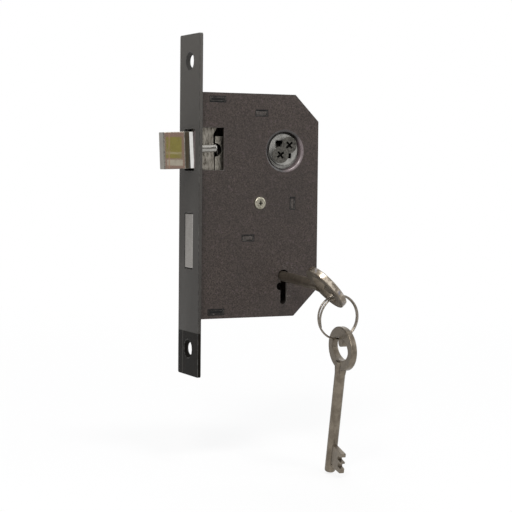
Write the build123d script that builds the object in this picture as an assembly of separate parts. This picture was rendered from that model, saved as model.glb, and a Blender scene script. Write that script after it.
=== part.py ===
"""Lever mortice sashlock with its two keys, in millimetres.

The lock stands upright as it sits in a door. X runs into the door from the forend's
back face, -Y looks out of the cover, +Z is up. The origin is midway between the two
forend screw holes, on the forend's back face.
"""
from build123d import *
from math import asin, cos, degrees, hypot, pi, radians, sin, sqrt, tan
import os

# Clearances and fits
RUNNING = 0.06            # radial clearance of the levers on their pivot
SLIDING = 0.3             # each side of a part that slides in an aperture
PINNED = 0.05             # radial clearance of a pin in its hole
STAKED = 0.15             # gap round a staked tab in its slot
NEAR = 0.15               # gap between a part and the one that carries or stops it

# Standard positions
BACKSET = 44.5            # forend's outer face to the key and follower centres
CENTRES = 57.0            # key centre to follower centre
FOLLOWER_Z = 25.0         # follower centre above the origin

# Forend
FOREND_LENGTH = 153.0
FOREND_WIDTH = 22.0
FOREND_THICKNESS = 1.6
FOREND_CORNER = 0.9
SCREW_SPACING = 129.0
SCREW_HOLE = 5.5
COUNTERSINK = 8.6
COUNTERSINK_LAND = 0.3    # straight wall left below the countersink

# Case
CASE_BEHIND = 17.3        # key centre to the case's back edge
CASE_HEIGHT = 101.4
CASE_THICKNESS = 14.5
CASE_CHAMFER = 12.0
PLATE = 1.2               # cover and back plate
WALL = 1.6
WALL_INSET = 2.2          # walls stand in from the plates' edges
FLANGE = 1.2              # tray's front flange behind the forend
TAB_SINK = 0.25           # staked tab ends lie below the cover's face
SHOULDER = 0.65           # bracket is wider than its tab, each end
WINDOW_RIGHT = 12.2
WINDOW_ABOVE = 10.0       # window's top edge above the follower centre
WINDOW_BELOW = 8.9

# Follower and its bearing
SPINDLE = 8.0             # square hole
BEARING = 16.0            # bore of the plunged bearing
JOURNAL = 14.4
FOLLOWER_LIFT = 0.75      # its spring holds the follower up in the bearing
PLUNGE_RADIUS = 1.9       # rounded entry of the bearing
PLUNGE_DEPTH = 2.9        # outer face of the plate to the end of the collar
JOURNAL_SINK = 1.65       # follower's end face below the plate's outer face
HUB = 18.0
ARM_REACH = 14.7          # centre of the arm's nose from the axis
ARM_NOSE = 2.0
ARM_WAIST = 1.2           # half the arm's width at its nose
ARM_SPREAD = 35.0         # half angle of the arm's root
ARM_THICKNESS = 3.0
ARM_REST = 25.0           # the arm leans back from upright by this at rest, degrees
HEEL_REACH = 11.5

# Latch
LATCH_HEIGHT = 16.5
LATCH_WIDTH = 10.4
LATCH_PROJECTION = 12.5   # tip beyond the forend's outer face
LATCH_FLAT = 5.7          # width of the square nose before the bevel
LATCH_SIDE = 4.4          # straight side between forend and bevel
LATCH_DROOP = 2.4         # the head hangs down in its aperture, degrees
LATCH_BLOCK = 8.2         # part of the head inside the case at rest
BLOCK_ABOVE = 10.6        # the block is taller than the aperture, which stops it
BLOCK_BELOW = 9.6
BLOCK_FLARE = 2.4         # the block is this much longer at its top
FLARE_HEIGHT = 4.2        # height over which it grows
LATCH_SLOT = 18.6         # aperture's height
LATCH_EDGE = 0.8          # rounding of the bevel's two edges
ROD = 2.8
ROD_Z = 0.5               # rod's height above the follower centre
ROD_START = 1.4
ROD_END = 10.3
NOTCH = 3.0               # round notch in the carriage about the rod's tip
CARRIAGE = 1.6            # carriage plate's thickness
CARRIAGE_GAP = 1.3        # between cover and carriage
CARRIAGE_TOP = 6.2        # top edge at the window, above the follower centre
CARRIAGE_FOOT = 9.6       # bottom edge, below the follower centre
CARRIAGE_SEAM = 0.8       # from the latch block to the carriage
CARRIAGE_END = 20.0       # right end of the lower part
BAR_START = 5.2           # from the latch block to the foot of the bar's slope
BAR_BOTTOM = 11.3         # bar over the follower, above its centre
LUG_HEIGHT = 1.63         # the bar's top above the lug's foot
BAR_CORNER = 1.5
LUG = 2.0
TONGUE_LENGTH = 5.0       # head's tongue behind the carriage, past the block
TONGUE_HEIGHT = 5.0

# Deadbolt
BOLT_HEIGHT = 24.5
BOLT_WIDTH = 8.4
BOLT_CENTRE = 16.2        # bolt's middle above the key centre
BOLT_LENGTH = 16.4
BOLT_EDGE = 0.4
BOLT_THROW = 14.0
TAIL = 1.6                # tail plate's thickness
TAIL_LAP = 8.0            # tail's length let into the bolt
TAIL_HEIGHT = 18.0
TAIL_GAP = 0.9            # tail's end to the case's back wall, drawn in
TAIL_CORNER = 6.0
TALON = 4.5               # width of the notch for the bit
TALON_BEHIND = 6.1        # key centre to the notch
STUMP = 3.0               # square stump that the lever gates pass
STUMP_BEHIND = 1.1        # key centre to the stump
STUMP_Z = 18.0            # above the key centre
RIVET = 2.4

# Levers
PIVOT_X = 21.0
PIVOT_Z = 22.0            # above the key centre
PIVOT = 5.0
LEVER = 1.0               # thickness
LEVER_BEHIND = 7.1        # key centre to the levers' ends
LEVER_BELLY = 9.0         # pivot centre to the start of the belly
LEVER_EYE = 2.2           # metal round the pivot
GATE = 0.35               # gate's clearance each side of the stump
POCKET = 3.4              # pocket's height above the gate

# Keyhole and keys
KEYHOLE = 5.6
SLOT_WIDTH = 3.1
SLOT_DROP = 13.2          # key centre to the bottom of the slot
LOBE = 1.75               # radius of the ward notch beside the slot
LOBE_DROP = 4.9
LOBE_SIDE = 1.8
KEY_LENGTH = 66.6
KEY_PIN = 4.7
KEY_LEAN = 43.2           # bow's plane from upright, degrees
KEY_DROOP = 2.4           # the key hangs down in its clearance, degrees
KEY_SWAY = -1.1           # and lies this much sideways in it, degrees
KEY_TIP = 7.4             # tip beyond the lock's middle
BOW = 18.9                # oval bow, along the key
BOW_ACROSS = 22.8
BOW_HOLE = 9.8            # oval hole, along the key
BOW_HOLE_ACROSS = 15.7
BOW_THICKNESS = 2.9
BOW_ROUND = 0.5           # rounding of the bow's outer edges
BOW_BOSS = 2.0            # radius of the round tab inside the bow
BOW_BOSS_RISE = 2.9       # its centre above the bow's centre
BOW_NECK = 6.6            # width of the bow where it meets the shank
NECK_LENGTH = 4.2
BIT_RADIUS = 11.3
BIT_THICKNESS = 2.2
BIT_START = 3.6           # bit's end from the pin's tip
BIT_LENGTH = 9.5
BIT_SHOULDER = 0.6
CUT_DEPTHS = (2.2, 3.2)   # lever cuts, from the tip
CUT_PLACES = (3.2, 6.2)   # their centres from the bit's end
CUT_WIDTH = 1.6

# Split ring
RING_RADIUS = 9.6
RING_WIRE = 0.95
RING_PITCH = 1.4
RING_TURNS = 2
RING_START = 205.0        # where the wire starts, degrees
RING_YAW = -1.0           # the ring's plane from the case's, degrees

# Spare key on the ring
SPARE_YAW = -2.9          # bow's plane from square to the case, degrees
SPARE_LEAN = 11.3         # shank from plumb, degrees
SPARE_SIDE = 3.8          # ring's wires beside the bow's centre
SPARE_PLAY = 0.35         # from the outer wire to the edge of the bow's hole
SPARE_SHIFT = 1.15        # bow's centre beside the ring's lowest point

# Springs
LATCH_COIL = 6.4          # mean diameter
LATCH_COIL_WIRE = 0.8
LATCH_COIL_TURNS = 7
LATCH_COIL_Y = 1.4
LATCH_COIL_DROP = 0.5     # below the follower centre
ABUTMENT_BEFORE = 13.5    # abutment's face to the follower centre
ABUTMENT = 1.4
LEAF = 0.6
LEAF_WIDTH = 5.0
LEVER_WIRE = 0.6

# Staked brackets
EDGE_TAB = 6.9            # length of the two tabs on the case's walls
TOP_TAB_X = 9.0
BOTTOM_TAB_X = 8.9
STRIP = 5.1               # length of the latch guide's and lever keeper's tabs
STRIP_BREADTH = 1.8
GUIDE_BEFORE = 11.9       # latch guide to the follower centre
GUIDE_ABOVE = 1.3         # latch guide's middle above the carriage's bar
KEEPER_X = 24.6
KEEPER_Z = -14.5
BRACKET_BEHIND = 4.2      # follower centre to the spring bracket
BRACKET_Z = 1.1
BRACKET_LENGTH = 1.6
BRACKET_BREADTH = 4.6

# Cover screw and the post that it enters
POST = 7.0
POST_BEFORE = 12.6        # post to the follower centre
POST_Z = 1.3
CAP_HEAD = 5.7
CAP_HEAD_HEIGHT = 1.7
CAP_SHANK = 2.9

# Forend screws, kept in the spindle hole until the lock is fitted
WOOD_HEAD = 7.6
WOOD_SHANK = 3.2
WOOD_LENGTH = 16.0
WOOD_HEAD_HEIGHT = 2.2
WOOD_RIM = 0.3
WOOD_POINT = 3.5
WOOD_SLACK = 0.4          # the upper screw stands off its corner of the hole
WOOD_RAISE = 1.15         # the lower screw stands further out
WOOD_LEAN = 13.7          # and leans towards the forend, degrees
WOOD_DIP = 3.9            # and down, degrees

# Places that follow from these
CENTRE_X = BACKSET - FOREND_THICKNESS
KEY_Z = FOLLOWER_Z - CENTRES
PIVOT_HEIGHT = FOLLOWER_Z + FOLLOWER_LIFT
CASE_DEPTH = CENTRE_X + CASE_BEHIND
FACE = CASE_THICKNESS / 2
INNER = FACE - PLATE
TOP = CASE_HEIGHT / 2
WALL_TOP = TOP - WALL_INSET
TAIL_END = CASE_DEPTH - WALL_INSET - WALL - TAIL_GAP
TALON_LEFT = CENTRE_X + TALON_BEHIND
STUMP_X = CENTRE_X + STUMP_BEHIND
LEVER_END = CENTRE_X + LEVER_BEHIND
ABUTMENT_X = CENTRE_X - ABUTMENT_BEFORE
LUG_BOTTOM = FOLLOWER_LIFT + ARM_REACH * cos(radians(ARM_REST))
BAR_TOP = LUG_BOTTOM + LUG_HEIGHT
POST_X = CENTRE_X - POST_BEFORE
BOLT_Z = KEY_Z + BOLT_CENTRE
ROD_Y = -INNER + NEAR + ROD / 2
TAIL_BACK = BOLT_WIDTH / 2
TAIL_FRONT = TAIL_BACK - TAIL
BIT_END = KEY_TIP - BIT_START

# Staked tabs: centre along X, centre along Z, length, breadth
TOP_TAB = (TOP_TAB_X, WALL_TOP - WALL / 2, EDGE_TAB, WALL)
BOTTOM_TAB = (BOTTOM_TAB_X, WALL / 2 - WALL_TOP, EDGE_TAB, WALL)
GUIDE_TAB = (CENTRE_X - GUIDE_BEFORE, FOLLOWER_Z + BAR_TOP + GUIDE_ABOVE, STRIP, STRIP_BREADTH)
KEEPER_TAB = (KEEPER_X, KEEPER_Z, STRIP, STRIP_BREADTH)
BRACKET_TAB = (CENTRE_X + BRACKET_BEHIND, BRACKET_Z, BRACKET_LENGTH, BRACKET_BREADTH)


def slab(sketch, y_from, y_to):
    """Extrude a sketch drawn in X and Z from y_from to y_to."""
    return extrude(Plane.XZ.offset(-y_to) * sketch, y_to - y_from)


def turned(angle, radius, centre=(0, 0)):
    """Point at an angle and radius about a centre, in a sketch."""
    a = radians(angle)
    return centre[0] + radius * cos(a), centre[1] + radius * sin(a)


def save(shape, node):
    """Write one sub-part."""
    export_step(shape, f"parts/{node}.step")


def biarc_path(points, tangents):
    """Join points with pairs of arcs that keep the given directions."""
    edges = []
    for p0, p1, t0, t1 in zip(points, points[1:], tangents, tangents[1:]):
        chord, both = p1 - p0, t0 + t1
        bend = 2 * (1 - t0.dot(t1))
        along = chord.dot(both)
        reach = (-along + sqrt(along**2 + bend * chord.dot(chord))) / bend
        corner0, corner1 = p0 + t0 * reach, p1 - t1 * reach
        middle = (corner0 + corner1) * 0.5
        edges.append(TangentArc(p0, middle, tangent=t0))
        edges.append(TangentArc(middle, p1, tangent=corner1 - corner0))
    return Wire(edges)


def coil(radius, pitch, turns, wire, start=0.0):
    """A wire wound about Z, centred on the origin, as one unbroken tube."""
    steps = int(turns * 4)
    rise = pitch / (2 * pi)
    points, tangents = [], []
    for k in range(steps + 1):
        a = radians(start) + k * pi / 2
        points.append(Vector(radius * cos(a), radius * sin(a), rise * k * pi / 2 - pitch * turns / 2))
        tangents.append(Vector(-radius * sin(a), radius * cos(a), rise).normalized())
    path = biarc_path(points, tangents)
    section = Plane(origin=points[0], z_dir=tangents[0]) * Circle(wire / 2)
    return sweep(section, path)


def coil_gap(radius, pitch, turns, wire, samples=48):
    """Least gap between neighbouring turns, measured on points of the wire's line."""
    line = []
    for k in range(int(turns * samples) + 1):
        a = 2 * pi * k / samples
        line.append(Vector(radius * cos(a), radius * sin(a), pitch * k / samples))
    apart = samples // 2
    near = min((p - q).length for i, p in enumerate(line) for q in line[i + apart:])
    return near - wire


def case_outline(inset=0.0):
    """Side view of the case with its two cut corners, drawn inside the edges by inset."""
    right, top, cut = CASE_DEPTH - inset, TOP - inset, CASE_CHAMFER - inset * tan(radians(22.5))
    points = [(0, -top), (right - cut, -top), (right, -top + cut),
              (right, top - cut), (right - cut, top), (0, top)]
    return make_face(Polyline(*points, close=True))


def keyhole():
    """Keyhole outline with its ward notch, about the key centre."""
    slot = Pos(0, -SLOT_DROP / 2 + SLOT_WIDTH / 4) * Rectangle(SLOT_WIDTH, SLOT_DROP - SLOT_WIDTH / 2)
    foot = Pos(0, -SLOT_DROP + SLOT_WIDTH / 2) * Circle(SLOT_WIDTH / 2)
    lobe = Pos(-LOBE_SIDE, -LOBE_DROP) * Circle(LOBE)
    return Pos(CENTRE_X, KEY_Z) * (Circle(KEYHOLE / 2) + slot + foot + lobe)


def bearing(side):
    """Collar plunged into the case round the follower; side is -1 at the cover."""
    bore, flat = BEARING / 2, BEARING / 2 + PLUNGE_RADIUS
    turn = FACE - PLUNGE_RADIUS
    small = PLUNGE_RADIUS - PLATE
    deep = FACE - PLUNGE_DEPTH
    step = PLUNGE_RADIUS * sin(radians(45)), small * sin(radians(45))
    outer = ThreePointArc((flat, FACE), (flat - step[0], turn + step[0]), (bore, turn))
    inner = ThreePointArc((bore + PLATE, turn), (flat - step[1], turn + step[1]), (flat, FACE - PLATE))
    rim = Polyline((bore, turn), (bore, deep), (bore + PLATE, deep), (bore + PLATE, turn))
    profile = make_face([outer, rim, inner, Line((flat, FACE - PLATE), (flat, FACE))])
    ring = revolve(profile, Axis.Y)
    if side < 0:
        ring = mirror(ring, Plane.XZ)
    return Pos(CENTRE_X, 0, FOLLOWER_Z) * ring


def tab_box(tab, gap, y_from, y_to):
    """Box over a staked tab's section, wider by gap each side."""
    x, z, length, breadth = tab
    return slab(Pos(x, z) * Rectangle(length + 2 * gap, breadth + 2 * gap), y_from, y_to)


def forend():
    """Front plate with its screw holes and the two bolt apertures."""
    plate = Rectangle(FOREND_WIDTH, FOREND_LENGTH)
    plate = fillet(plate.vertices(), FOREND_CORNER)
    body = extrude(Plane.YZ.offset(-FOREND_THICKNESS) * plate, FOREND_THICKNESS)
    sink = FOREND_THICKNESS - COUNTERSINK_LAND
    hole = Plane.YZ.offset(-FOREND_THICKNESS) * Cylinder(
        SCREW_HOLE / 2, FOREND_THICKNESS, align=(Align.CENTER, Align.CENTER, Align.MIN))
    cone = Plane.YZ.offset(-FOREND_THICKNESS) * Cone(
        COUNTERSINK / 2, SCREW_HOLE / 2, sink, align=(Align.CENTER, Align.CENTER, Align.MIN))
    for z in (-SCREW_SPACING / 2, SCREW_SPACING / 2):
        body -= Pos(0, 0, z) * (hole + cone)
    return body - apertures(-FOREND_THICKNESS, FOREND_THICKNESS)


def apertures(x_from, depth):
    """Cutters for the latch and the deadbolt."""
    latch = Pos(0, FOLLOWER_Z) * Rectangle(LATCH_WIDTH + 2 * SLIDING, LATCH_SLOT)
    bolt = Pos(0, BOLT_Z) * Rectangle(BOLT_WIDTH + 2 * SLIDING, BOLT_HEIGHT + 2 * SLIDING)
    return extrude(Plane.YZ.offset(x_from) * (latch + bolt), depth)


def case_tray():
    """Back plate, walls and front flange in one, with the two tabs that hold the cover."""
    plate = slab(case_outline(), INNER, FACE)
    outer, inner = case_outline(WALL_INSET), case_outline(WALL_INSET + WALL)
    wall = slab(outer - inner, -INNER, INNER)
    wall += tab_box(TOP_TAB, 0, -FACE + TAB_SINK, -INNER)
    wall += tab_box(BOTTOM_TAB, 0, -FACE + TAB_SINK, -INNER)
    flange_face = Rectangle(2 * INNER, 2 * WALL_TOP)
    flange = extrude(Plane.YZ * flange_face, FLANGE) - apertures(0, FLANGE)
    body = plate + wall + flange
    body -= slab(keyhole(), INNER, FACE)
    bore = BEARING / 2 + PLUNGE_RADIUS
    body -= slab(Pos(CENTRE_X, FOLLOWER_Z) * Circle(bore), INNER, FACE)
    return body + bearing(1)


def case_cover():
    """Cover plate with the latch window, the plunged bearing and the keyhole."""
    window = Pos(WINDOW_RIGHT / 2, FOLLOWER_Z + (WINDOW_ABOVE - WINDOW_BELOW) / 2) * Rectangle(
        WINDOW_RIGHT, WINDOW_ABOVE + WINDOW_BELOW)
    bore = BEARING / 2 + PLUNGE_RADIUS
    face = case_outline() - window - keyhole()
    face -= Pos(CENTRE_X, FOLLOWER_Z) * Circle(bore)
    face -= Pos(POST_X, POST_Z) * Circle(CAP_SHANK / 2 + STAKED)
    body = slab(face, -FACE, -INNER)
    for tab in (TOP_TAB, BOTTOM_TAB, GUIDE_TAB, BRACKET_TAB, KEEPER_TAB):
        body -= tab_box(tab, STAKED, -FACE, -INNER)
    return body + bearing(-1)


def staked_bracket(tab, y_back):
    """Strip from the cover inwards, wider than the tab that is staked in the cover."""
    x, z, length, breadth = tab
    if length > breadth:
        wide = (x, z, length + 2 * SHOULDER, breadth)
    else:
        wide = (x, z, length, breadth + 2 * SHOULDER)
    return tab_box(tab, 0, -FACE + TAB_SINK, -INNER) + tab_box(wide, 0, -INNER, y_back)


def cap_post():
    """Post on the back plate that takes the cover screw."""
    post = slab(Pos(POST_X, POST_Z) * Circle(POST / 2), -INNER, INNER)
    return post - slab(Pos(POST_X, POST_Z) * Circle(CAP_SHANK / 2 + PINNED), -INNER, INNER - PLATE)


def cap_screw():
    """Pan head screw that closes the cover."""
    head = Cylinder(CAP_HEAD / 2, CAP_HEAD_HEIGHT, align=(Align.CENTER, Align.CENTER, Align.MIN))
    head = fillet(head.edges().group_by(Axis.Z)[-1], CAP_HEAD_HEIGHT * 0.55)
    length = PLATE + 2 * INNER - 2 * PLATE
    shank = Cylinder(CAP_SHANK / 2, length, align=(Align.CENTER, Align.CENTER, Align.MAX))
    return Plane(origin=(POST_X, -FACE, POST_Z), z_dir=(0, -1, 0)) * (head + shank)


def latch_head():
    """Bevelled latch bolt; the square nose and the bevel are outside, a block is inside."""
    side, tip = LATCH_WIDTH / 2, -FOREND_THICKNESS - LATCH_PROJECTION
    bend = -FOREND_THICKNESS - LATCH_SIDE
    plan = Polyline((LATCH_BLOCK, -side), (bend, -side), (tip, side - LATCH_FLAT), (tip, side),
                    (LATCH_BLOCK, side), close=True)
    face = make_face(plan)
    nose = face.vertices().filter_by_position(Axis.X, tip - 1, bend + 0.1)
    face = fillet(nose, LATCH_EDGE)
    body = extrude(Plane.XY.offset(-LATCH_HEIGHT / 2) * face, LATCH_HEIGHT)
    start = FLANGE + NEAR + BLOCK_ABOVE * sin(radians(LATCH_DROOP))
    block = Polyline((start, -BLOCK_BELOW), (LATCH_BLOCK, -BLOCK_BELOW),
                     (LATCH_BLOCK, BLOCK_ABOVE - FLARE_HEIGHT),
                     (LATCH_BLOCK + BLOCK_FLARE, BLOCK_ABOVE), (start, BLOCK_ABOVE), close=True)
    body += slab(make_face(block), -side, side)
    groove = Pos(LATCH_BLOCK / 2 + ROD_START / 2, ROD_Y, ROD_Z) * Rot(0, 90, 0) * Cylinder(
        ROD / 2 + PINNED, LATCH_BLOCK - ROD_START + 2 * NEAR)
    tongue = Pos(0, -INNER + CARRIAGE_GAP + CARRIAGE, -LATCH_HEIGHT / 2) * Box(
        LATCH_BLOCK + TONGUE_LENGTH, CARRIAGE, TONGUE_HEIGHT, align=(Align.MIN, Align.MIN, Align.MIN))
    body = body - groove + tongue
    return Pos(0, 0, FOLLOWER_Z) * Rot(0, -LATCH_DROOP, 0) * body


def latch_rod():
    """Round rod in the groove of the latch, with a rounded tip in the carriage's notch."""
    length = ROD_END - ROD_START
    rod = Cylinder(ROD / 2, length, align=(Align.CENTER, Align.CENTER, Align.MIN))
    rod = fillet(rod.edges().group_by(Axis.Z)[-1], ROD / 2 - 0.1)
    rod = Pos(ROD_START, ROD_Y, ROD_Z) * Rot(0, 90, 0) * rod
    return Pos(0, 0, FOLLOWER_Z) * Rot(0, -LATCH_DROOP, 0) * rod


def latch_carriage():
    """Plate behind the latch with the bar over the follower and the lug that its arm pushes."""
    front = -INNER + CARRIAGE_GAP
    left = LATCH_BLOCK + CARRIAGE_SEAM
    bar_left = LATCH_BLOCK + BAR_START
    lug_left = CENTRE_X - ARM_REACH * sin(radians(ARM_REST)) + ARM_NOSE + NEAR
    right = lug_left + LUG
    outline = Polyline((left, -CARRIAGE_FOOT), (CARRIAGE_END, -CARRIAGE_FOOT),
                       (CARRIAGE_END, BAR_BOTTOM), (right, BAR_BOTTOM),
                       (right, BAR_TOP - BAR_CORNER), (right - BAR_CORNER, BAR_TOP),
                       (bar_left + CARRIAGE_TOP, BAR_TOP), (bar_left, CARRIAGE_TOP),
                       (left, CARRIAGE_TOP), close=True)
    face = make_face(outline) - Pos(ROD_END - 1.0, ROD_Z - 0.4) * Circle(NOTCH)
    plate = slab(Pos(0, FOLLOWER_Z) * face, front, front + CARRIAGE)
    lug_face = Polyline((lug_left, LUG_BOTTOM), (right, LUG_BOTTOM), (right, BAR_TOP - BAR_CORNER),
                        (right - BAR_CORNER, BAR_TOP), (lug_left, BAR_TOP), close=True)
    lug = slab(Pos(0, FOLLOWER_Z) * make_face(lug_face), front, ARM_THICKNESS / 2 + NEAR)
    return plate + lug


def follower():
    """Square-holed follower: two journals, a hub, the arm that draws the latch and a heel."""
    end = FACE - JOURNAL_SINK
    shoulder = FACE - PLUNGE_DEPTH - NEAR
    body = slab(Circle(JOURNAL / 2), -end, end)
    body += slab(Circle(HUB / 2), -shoulder, shoulder)
    for angle, reach in ((90 + ARM_REST, ARM_REACH), (-90, HEEL_REACH)):
        nose = Pos(*turned(angle, reach)) * Circle(ARM_NOSE)
        waist = degrees(asin(ARM_WAIST / reach))
        root = make_face(Polyline(
            turned(angle + ARM_SPREAD, HUB / 2 - 1), turned(angle - ARM_SPREAD, HUB / 2 - 1),
            turned(angle - waist, reach), turned(angle + waist, reach), close=True))
        body += slab(nose + root, -ARM_THICKNESS / 2, ARM_THICKNESS / 2)
    body -= slab(Rectangle(SPINDLE, SPINDLE), -end, end)
    return Pos(CENTRE_X, 0, PIVOT_HEIGHT) * body


def wood_screw(side):
    """Countersunk screw in one corner of the spindle hole; side is 1 for the upper one."""
    lean, dip = (WOOD_LEAN, WOOD_DIP) if side < 0 else (0.0, 0.0)
    slack, raise_by = (0.0, WOOD_RAISE) if side < 0 else (WOOD_SLACK, 0.0)
    reach = SPINDLE / 2 - WOOD_SHANK / 2 / cos(radians(lean)) - PINNED - slack
    head = Cylinder(WOOD_HEAD / 2, WOOD_RIM, align=(Align.CENTER, Align.CENTER, Align.MAX))
    head += Pos(0, 0, -WOOD_RIM) * Cone(
        WOOD_SHANK / 2, WOOD_HEAD / 2, WOOD_HEAD_HEIGHT - WOOD_RIM,
        align=(Align.CENTER, Align.CENTER, Align.MAX))
    straight = WOOD_LENGTH - WOOD_HEAD_HEIGHT - WOOD_POINT
    shank = Pos(0, 0, -WOOD_HEAD_HEIGHT) * Cylinder(
        WOOD_SHANK / 2, straight, align=(Align.CENTER, Align.CENTER, Align.MAX))
    tip = Pos(0, 0, -WOOD_HEAD_HEIGHT - straight) * Cone(
        WOOD_RIM, WOOD_SHANK / 2, WOOD_POINT, align=(Align.CENTER, Align.CENTER, Align.MAX))
    mouth = Vector(CENTRE_X + side * reach, JOURNAL_SINK - FACE, PIVOT_HEIGHT + side * reach)
    out = Vector(-tan(radians(lean)), -1, -tan(radians(dip)))
    stand = WOOD_HEAD_HEIGHT + PINNED + raise_by
    return Plane(origin=mouth + out * stand, z_dir=out) * (head + shank + tip)


def deadbolt_head():
    """Square bolt, flush with the forend when it is drawn in."""
    block = Pos(-FOREND_THICKNESS, 0, BOLT_Z) * Box(
        BOLT_LENGTH, BOLT_WIDTH, BOLT_HEIGHT, align=(Align.MIN, Align.CENTER, Align.CENTER))
    block = chamfer(block.faces().sort_by(Axis.X)[0].edges(), BOLT_EDGE)
    rear = BOLT_LENGTH - FOREND_THICKNESS
    block -= Pos(rear, TAIL_FRONT, BOLT_Z) * Box(
        TAIL_LAP, TAIL, BOLT_HEIGHT, align=(Align.MAX, Align.MIN, Align.CENTER))
    return block - tail_rivets()


def tail_rivets():
    """Two rivets that join the bolt and its tail."""
    x = BOLT_LENGTH - FOREND_THICKNESS - TAIL_LAP / 2
    pins = [Pos(x, TAIL_BACK, z) * Rot(90, 0, 0) * Cylinder(
        RIVET / 2, TAIL * 2, align=(Align.CENTER, Align.CENTER, Align.MIN))
        for z in (BOLT_Z - 2.5, BOLT_Z + 4.5)]
    return Compound(children=pins)


def deadbolt_tail():
    """Flat tail with the pivot's guide slot and the talon that the key's bit enters."""
    left = BOLT_LENGTH - FOREND_THICKNESS - TAIL_LAP
    bottom = KEY_Z + bit_clear(BIT_RADIUS, TAIL_BACK)
    top = bottom + TAIL_HEIGHT
    talon_top = KEY_Z + BIT_RADIUS + 0.4
    outline = Polyline((left, bottom), (TALON_LEFT, bottom), (TALON_LEFT, talon_top),
                       (TALON_LEFT + TALON, talon_top), (TALON_LEFT + TALON, bottom),
                       (TAIL_END, bottom), (TAIL_END, top - TAIL_CORNER), (TAIL_END - TAIL_CORNER, top),
                       (left, top), close=True)
    slot_radius = PIVOT / 2 + SLIDING
    slot = Pos(PIVOT_X + BOLT_THROW / 2, KEY_Z + PIVOT_Z) * SlotCenterToCenter(BOLT_THROW, 2 * slot_radius)
    stump_hole = Pos(STUMP_X, KEY_Z + STUMP_Z) * Rectangle(STUMP, STUMP)
    plate = slab(make_face(outline) - slot - stump_hole, TAIL_FRONT, TAIL_BACK)
    return plate - tail_rivets()


def bit_clear(radius, y_back):
    """Height above the key centre just over the resting bit, where its radius is as given."""
    corner = degrees(asin(BIT_THICKNESS / 2 / radius))
    rise = y_back * tan(radians(KEY_DROOP))
    return hypot(radius, BIT_THICKNESS / 2) * cos(radians(KEY_LEAN - corner)) + rise + NEAR


def bolt_stump():
    """Square stump through the tail that stands in the levers' gates."""
    return slab(Pos(STUMP_X, KEY_Z + STUMP_Z) * Rectangle(STUMP, STUMP), lever_front(1) - 0.8, TAIL_BACK)


def cut_floor(index):
    """Radius of the bit at a lever's cut."""
    return BIT_RADIUS - CUT_DEPTHS[index]


def lever_front(index):
    """Front face of a lever, in line with its cut in the bit; lever 0 is beside the tail."""
    tilt = cut_floor(index) * sin(radians(KEY_DROOP)) * cos(radians(KEY_LEAN))
    return BIT_END - CUT_PLACES[index] - tilt - LEVER / 2


def lever(index):
    """Lever raised to its gate: pivot eye, belly over the bit, gate and two pockets."""
    front = lever_front(index)
    touch = bit_clear(cut_floor(index), front + LEVER)
    eye = PIVOT / 2 + LEVER_EYE
    top = PIVOT_Z + eye
    outline = Polyline((PIVOT_X, PIVOT_Z - eye), (PIVOT_X + LEVER_BELLY, touch), (LEVER_END - 2, touch),
                       (LEVER_END, touch + 3), (LEVER_END, top - 4), (LEVER_END - 5, top),
                       (PIVOT_X, top), close=True)
    face = make_face(outline) + Pos(PIVOT_X, PIVOT_Z) * Circle(eye)
    face -= Pos(PIVOT_X, PIVOT_Z) * Circle(PIVOT / 2 + RUNNING)
    reach = STUMP + 2 * GATE
    left = STUMP_X - BOLT_THROW
    gate = Pos((left + STUMP_X) / 2, STUMP_Z) * Rectangle(BOLT_THROW + reach, reach)
    face -= gate
    for x in (left, STUMP_X):
        face -= Pos(x, STUMP_Z + POCKET / 2) * Rectangle(reach + 1.2, reach + POCKET)
    return slab(Pos(0, KEY_Z) * face, front, front + LEVER)


def lever_spring(index):
    """Wire spring from a lever's top edge, bearing under the cover post."""
    base = KEY_Z + PIVOT_Z + PIVOT / 2 + LEVER_EYE
    under = POST_Z - POST / 2 - NEAR - LEVER_WIRE / 2
    y = lever_front(index) + LEVER / 2
    path = FilletPolyline((PIVOT_X + 2, y, base), (PIVOT_X + 2, y, (base + under) / 2 + 0.6),
                          (POST_X, y, under), (POST_X + POST, y, base + LEVER_WIRE), radius=0.8)
    section = Plane(origin=path @ 0, z_dir=path % 0) * Circle(LEVER_WIRE / 2)
    return sweep(section, path)


def lever_pivot():
    """Post on the back plate that the levers turn on and the tail slides along."""
    post = slab(Pos(PIVOT_X, KEY_Z + PIVOT_Z) * Circle(PIVOT / 2), -INNER, INNER)
    collar = slab(Pos(PIVOT_X, KEY_Z + PIVOT_Z) * Circle(PIVOT / 2 + 1.2),
                  lever_front(1) + LEVER + NEAR, lever_front(0) - NEAR)
    return post + collar


def latch_spring():
    """Compression spring between the latch block and its abutment."""
    start = LATCH_BLOCK + 0.6
    length = ABUTMENT_X - start - LATCH_COIL_WIRE - NEAR
    pitch = length / LATCH_COIL_TURNS
    winding = coil(LATCH_COIL / 2, pitch, LATCH_COIL_TURNS, LATCH_COIL_WIRE)
    gap = coil_gap(LATCH_COIL / 2, pitch, LATCH_COIL_TURNS, LATCH_COIL_WIRE)
    print(f"latch spring: least gap between its turns {gap:.2f} mm")
    middle = start + (ABUTMENT_X - start) / 2
    return Pos(middle, LATCH_COIL_Y, FOLLOWER_Z - LATCH_COIL_DROP) * Rot(0, 90, 0) * winding


def spring_abutment():
    """Upright on the back plate that the latch spring pushes against."""
    height = LATCH_COIL + 2 * LATCH_COIL_WIRE
    face = Pos(ABUTMENT_X + ABUTMENT / 2, FOLLOWER_Z - LATCH_COIL_DROP) * Rectangle(ABUTMENT, height)
    return slab(face, LATCH_COIL_Y - height / 2, INNER)


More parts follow.
